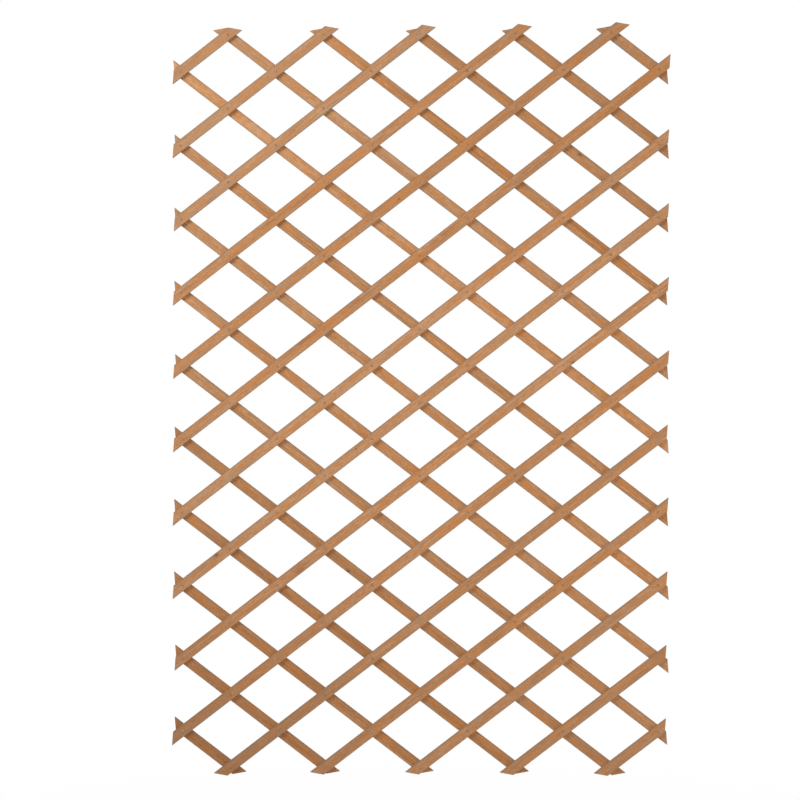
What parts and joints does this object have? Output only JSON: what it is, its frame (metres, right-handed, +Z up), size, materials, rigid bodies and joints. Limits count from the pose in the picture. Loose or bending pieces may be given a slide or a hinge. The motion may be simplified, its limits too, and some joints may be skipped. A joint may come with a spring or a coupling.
{
  "type": "trellis panel",
  "caption": "Expanding garden lattice of straight wooden laths in two crossed layers, riveted at every crossing, that opens into diamonds or folds into a bundle.",
  "frame": {"origin": "centre crossing of the lattice, at the rear end of its rivet, in the plane of the wall behind", "axes": "+X to the right across the panel seen from the front, +Y back into the wall, +Z up along the panel"},
  "size_m": [1.196, 0.0147, 1.8037],
  "materials": {
    "front_laths": "planed softwood with a warm orange-brown stain, matt",
    "back_laths": "planed softwood with a warm orange-brown stain, matt",
    "rivets": "dull plated steel, toned by the stain"
  },
  "bodies": {
    "centre_rivet": {"centre_rivet": "rivets"},
    "front_lath_01": {"front_lath_01": "front_laths", "rivets_01": "rivets"},
    "front_lath_02": {"front_lath_02": "front_laths", "rivets_02": "rivets"},
    "front_lath_03": {"front_lath_03": "front_laths", "rivets_03": "rivets"},
    "front_lath_04": {"front_lath_04": "front_laths", "rivets_04": "rivets"},
    "front_lath_05": {"front_lath_05": "front_laths", "rivets_05": "rivets"},
    "front_lath_06": {"front_lath_06": "front_laths", "rivets_06": "rivets"},
    "front_lath_07": {"front_lath_07": "front_laths", "rivets_07": "rivets"},
    "front_lath_08": {"front_lath_08": "front_laths", "rivets_08": "rivets"},
    "front_lath_09": {"front_lath_09": "front_laths", "rivets_09": "rivets"},
    "front_lath_10": {"front_lath_10": "front_laths", "rivets_10": "rivets"},
    "front_lath_11": {"front_lath_11": "front_laths", "rivets_11": "rivets"},
    "front_lath_12": {"front_lath_12": "front_laths", "rivets_12": "rivets"},
    "front_lath_13": {"front_lath_13": "front_laths", "rivets_13": "rivets"},
    "front_lath_14": {"front_lath_14": "front_laths", "rivets_14": "rivets"},
    "front_lath_15": {"front_lath_15": "front_laths", "rivets_15": "rivets"},
    "back_lath_01": {"back_lath_01": "back_laths"},
    "back_lath_02": {"back_lath_02": "back_laths"},
    "back_lath_03": {"back_lath_03": "back_laths"},
    "back_lath_04": {"back_lath_04": "back_laths"},
    "back_lath_05": {"back_lath_05": "back_laths"},
    "back_lath_06": {"back_lath_06": "back_laths"},
    "back_lath_07": {"back_lath_07": "back_laths"},
    "back_lath_08": {"back_lath_08": "back_laths"},
    "back_lath_09": {"back_lath_09": "back_laths"},
    "back_lath_10": {"back_lath_10": "back_laths"},
    "back_lath_11": {"back_lath_11": "back_laths"},
    "back_lath_12": {"back_lath_12": "back_laths"},
    "back_lath_13": {"back_lath_13": "back_laths"},
    "back_lath_14": {"back_lath_14": "back_laths"},
    "back_lath_15": {"back_lath_15": "back_laths"}
  },
  "joints": [
    {"name": "lattice_expansion", "type": "hinge", "parent": "centre_rivet", "child": "front_lath_08", "pos_m": [0, 0, 0], "axis": [0, -1, 0], "range_deg": [-32.5, 47.3]},
    {"name": "back_lath_08_pivot", "type": "hinge", "parent": "centre_rivet", "child": "back_lath_08", "pos_m": [0, 0, 0], "axis": [0, -1, 0], "range_deg": [-47.3, 32.5]},
    {"name": "front_lath_07_pivot", "type": "hinge", "parent": "back_lath_08", "child": "front_lath_07", "pos_m": [-0.11409, 0, 0.08786], "axis": [0, -1, 0], "range_deg": [-65, 94.6]},
    {"name": "back_lath_07_pivot", "type": "hinge", "parent": "front_lath_08", "child": "back_lath_07", "pos_m": [-0.11409, 0, -0.08786], "axis": [0, -1, 0], "range_deg": [-94.6, 65]},
    {"name": "back_lath_09_pivot", "type": "hinge", "parent": "front_lath_08", "child": "back_lath_09", "pos_m": [0.11409, 0, 0.08786], "axis": [0, -1, 0], "range_deg": [-94.6, 65]},
    {"name": "front_lath_09_pivot", "type": "hinge", "parent": "back_lath_08", "child": "front_lath_09", "pos_m": [0.11409, 0, -0.08786], "axis": [0, -1, 0], "range_deg": [-65, 94.6]},
    {"name": "front_lath_06_pivot", "type": "hinge", "parent": "back_lath_08", "child": "front_lath_06", "pos_m": [-0.22818, 0, 0.17572], "axis": [0, -1, 0], "range_deg": [-65, 94.6]},
    {"name": "back_lath_06_pivot", "type": "hinge", "parent": "front_lath_08", "child": "back_lath_06", "pos_m": [-0.22818, 0, -0.17572], "axis": [0, -1, 0], "range_deg": [-94.6, 65]},
    {"name": "back_lath_10_pivot", "type": "hinge", "parent": "front_lath_08", "child": "back_lath_10", "pos_m": [0.22818, 0, 0.17572], "axis": [0, -1, 0], "range_deg": [-94.6, 65]},
    {"name": "front_lath_10_pivot", "type": "hinge", "parent": "back_lath_08", "child": "front_lath_10", "pos_m": [0.22818, 0, -0.17572], "axis": [0, -1, 0], "range_deg": [-65, 94.6]},
    {"name": "front_lath_05_pivot", "type": "hinge", "parent": "back_lath_08", "child": "front_lath_05", "pos_m": [-0.34227, 0, 0.26358], "axis": [0, -1, 0], "range_deg": [-65, 94.6]},
    {"name": "back_lath_05_pivot", "type": "hinge", "parent": "front_lath_08", "child": "back_lath_05", "pos_m": [-0.34227, 0, -0.26358], "axis": [0, -1, 0], "range_deg": [-94.6, 65]},
    {"name": "back_lath_11_pivot", "type": "hinge", "parent": "front_lath_08", "child": "back_lath_11", "pos_m": [0.34227, 0, 0.26358], "axis": [0, -1, 0], "range_deg": [-94.6, 65]},
    {"name": "front_lath_11_pivot", "type": "hinge", "parent": "back_lath_08", "child": "front_lath_11", "pos_m": [0.34227, 0, -0.26358], "axis": [0, -1, 0], "range_deg": [-65, 94.6]},
    {"name": "front_lath_04_pivot", "type": "hinge", "parent": "back_lath_08", "child": "front_lath_04", "pos_m": [-0.45636, 0, 0.35144], "axis": [0, -1, 0], "range_deg": [-65, 94.6]},
    {"name": "back_lath_04_pivot", "type": "hinge", "parent": "front_lath_08", "child": "back_lath_04", "pos_m": [-0.45636, 0, -0.35144], "axis": [0, -1, 0], "range_deg": [-94.6, 65]},
    {"name": "back_lath_12_pivot", "type": "hinge", "parent": "front_lath_08", "child": "back_lath_12", "pos_m": [0.45636, 0, 0.35144], "axis": [0, -1, 0], "range_deg": [-94.6, 65]},
    {"name": "front_lath_12_pivot", "type": "hinge", "parent": "back_lath_08", "child": "front_lath_12", "pos_m": [0.45636, 0, -0.35144], "axis": [0, -1, 0], "range_deg": [-65, 94.6]},
    {"name": "front_lath_03_pivot", "type": "hinge", "parent": "back_lath_08", "child": "front_lath_03", "pos_m": [-0.57045, 0, 0.43931], "axis": [0, -1, 0], "range_deg": [-65, 94.6]},
    {"name": "back_lath_03_pivot", "type": "hinge", "parent": "front_lath_08", "child": "back_lath_03", "pos_m": [-0.57045, 0, -0.43931], "axis": [0, -1, 0], "range_deg": [-94.6, 65]},
    {"name": "back_lath_13_pivot", "type": "hinge", "parent": "front_lath_08", "child": "back_lath_13", "pos_m": [0.57045, 0, 0.43931], "axis": [0, -1, 0], "range_deg": [-94.6, 65]},
    {"name": "front_lath_13_pivot", "type": "hinge", "parent": "back_lath_08", "child": "front_lath_13", "pos_m": [0.57045, 0, -0.43931], "axis": [0, -1, 0], "range_deg": [-65, 94.6]},
    {"name": "front_lath_02_pivot", "type": "hinge", "parent": "back_lath_10", "child": "front_lath_02", "pos_m": [-0.45636, 0, 0.70289], "axis": [0, -1, 0], "range_deg": [-65, 94.6]},
    {"name": "back_lath_02_pivot", "type": "hinge", "parent": "front_lath_10", "child": "back_lath_02", "pos_m": [-0.45636, 0, -0.70289], "axis": [0, -1, 0], "range_deg": [-94.6, 65]},
    {"name": "back_lath_14_pivot", "type": "hinge", "parent": "front_lath_06", "child": "back_lath_14", "pos_m": [0.45636, 0, 0.70289], "axis": [0, -1, 0], "range_deg": [-94.6, 65]},
    {"name": "front_lath_14_pivot", "type": "hinge", "parent": "back_lath_06", "child": "front_lath_14", "pos_m": [0.45636, 0, -0.70289], "axis": [0, -1, 0], "range_deg": [-65, 94.6]},
    {"name": "front_lath_01_pivot", "type": "hinge", "parent": "back_lath_10", "child": "front_lath_01", "pos_m": [-0.57045, 0, 0.79075], "axis": [0, -1, 0], "range_deg": [-65, 94.6]},
    {"name": "back_lath_01_pivot", "type": "hinge", "parent": "front_lath_10", "child": "back_lath_01", "pos_m": [-0.57045, 0, -0.79075], "axis": [0, -1, 0], "range_deg": [-94.6, 65]},
    {"name": "back_lath_15_pivot", "type": "hinge", "parent": "front_lath_06", "child": "back_lath_15", "pos_m": [0.57045, 0, 0.79075], "axis": [0, -1, 0], "range_deg": [-94.6, 65]},
    {"name": "front_lath_15_pivot", "type": "hinge", "parent": "back_lath_06", "child": "front_lath_15", "pos_m": [0.57045, 0, -0.79075], "axis": [0, -1, 0], "range_deg": [-65, 94.6]}
  ],
  "couplings": [
    {"joint": "back_lath_08_pivot", "follows": "lattice_expansion", "ratio": -1},
    {"joint": "front_lath_07_pivot", "follows": "lattice_expansion", "ratio": 2},
    {"joint": "back_lath_07_pivot", "follows": "lattice_expansion", "ratio": -2},
    {"joint": "back_lath_09_pivot", "follows": "lattice_expansion", "ratio": -2},
    {"joint": "front_lath_09_pivot", "follows": "lattice_expansion", "ratio": 2},
    {"joint": "front_lath_06_pivot", "follows": "lattice_expansion", "ratio": 2},
    {"joint": "back_lath_06_pivot", "follows": "lattice_expansion", "ratio": -2},
    {"joint": "back_lath_10_pivot", "follows": "lattice_expansion", "ratio": -2},
    {"joint": "front_lath_10_pivot", "follows": "lattice_expansion", "ratio": 2},
    {"joint": "front_lath_05_pivot", "follows": "lattice_expansion", "ratio": 2},
    {"joint": "back_lath_05_pivot", "follows": "lattice_expansion", "ratio": -2},
    {"joint": "back_lath_11_pivot", "follows": "lattice_expansion", "ratio": -2},
    {"joint": "front_lath_11_pivot", "follows": "lattice_expansion", "ratio": 2},
    {"joint": "front_lath_04_pivot", "follows": "lattice_expansion", "ratio": 2},
    {"joint": "back_lath_04_pivot", "follows": "lattice_expansion", "ratio": -2},
    {"joint": "back_lath_12_pivot", "follows": "lattice_expansion", "ratio": -2},
    {"joint": "front_lath_12_pivot", "follows": "lattice_expansion", "ratio": 2},
    {"joint": "front_lath_03_pivot", "follows": "lattice_expansion", "ratio": 2},
    {"joint": "back_lath_03_pivot", "follows": "lattice_expansion", "ratio": -2},
    {"joint": "back_lath_13_pivot", "follows": "lattice_expansion", "ratio": -2},
    {"joint": "front_lath_13_pivot", "follows": "lattice_expansion", "ratio": 2},
    {"joint": "front_lath_02_pivot", "follows": "lattice_expansion", "ratio": 2},
    {"joint": "back_lath_02_pivot", "follows": "lattice_expansion", "ratio": -2},
    {"joint": "back_lath_14_pivot", "follows": "lattice_expansion", "ratio": -2},
    {"joint": "front_lath_14_pivot", "follows": "lattice_expansion", "ratio": 2},
    {"joint": "front_lath_01_pivot", "follows": "lattice_expansion", "ratio": 2},
    {"joint": "back_lath_01_pivot", "follows": "lattice_expansion", "ratio": -2},
    {"joint": "back_lath_15_pivot", "follows": "lattice_expansion", "ratio": -2},
    {"joint": "front_lath_15_pivot", "follows": "lattice_expansion", "ratio": 2}
  ]
}
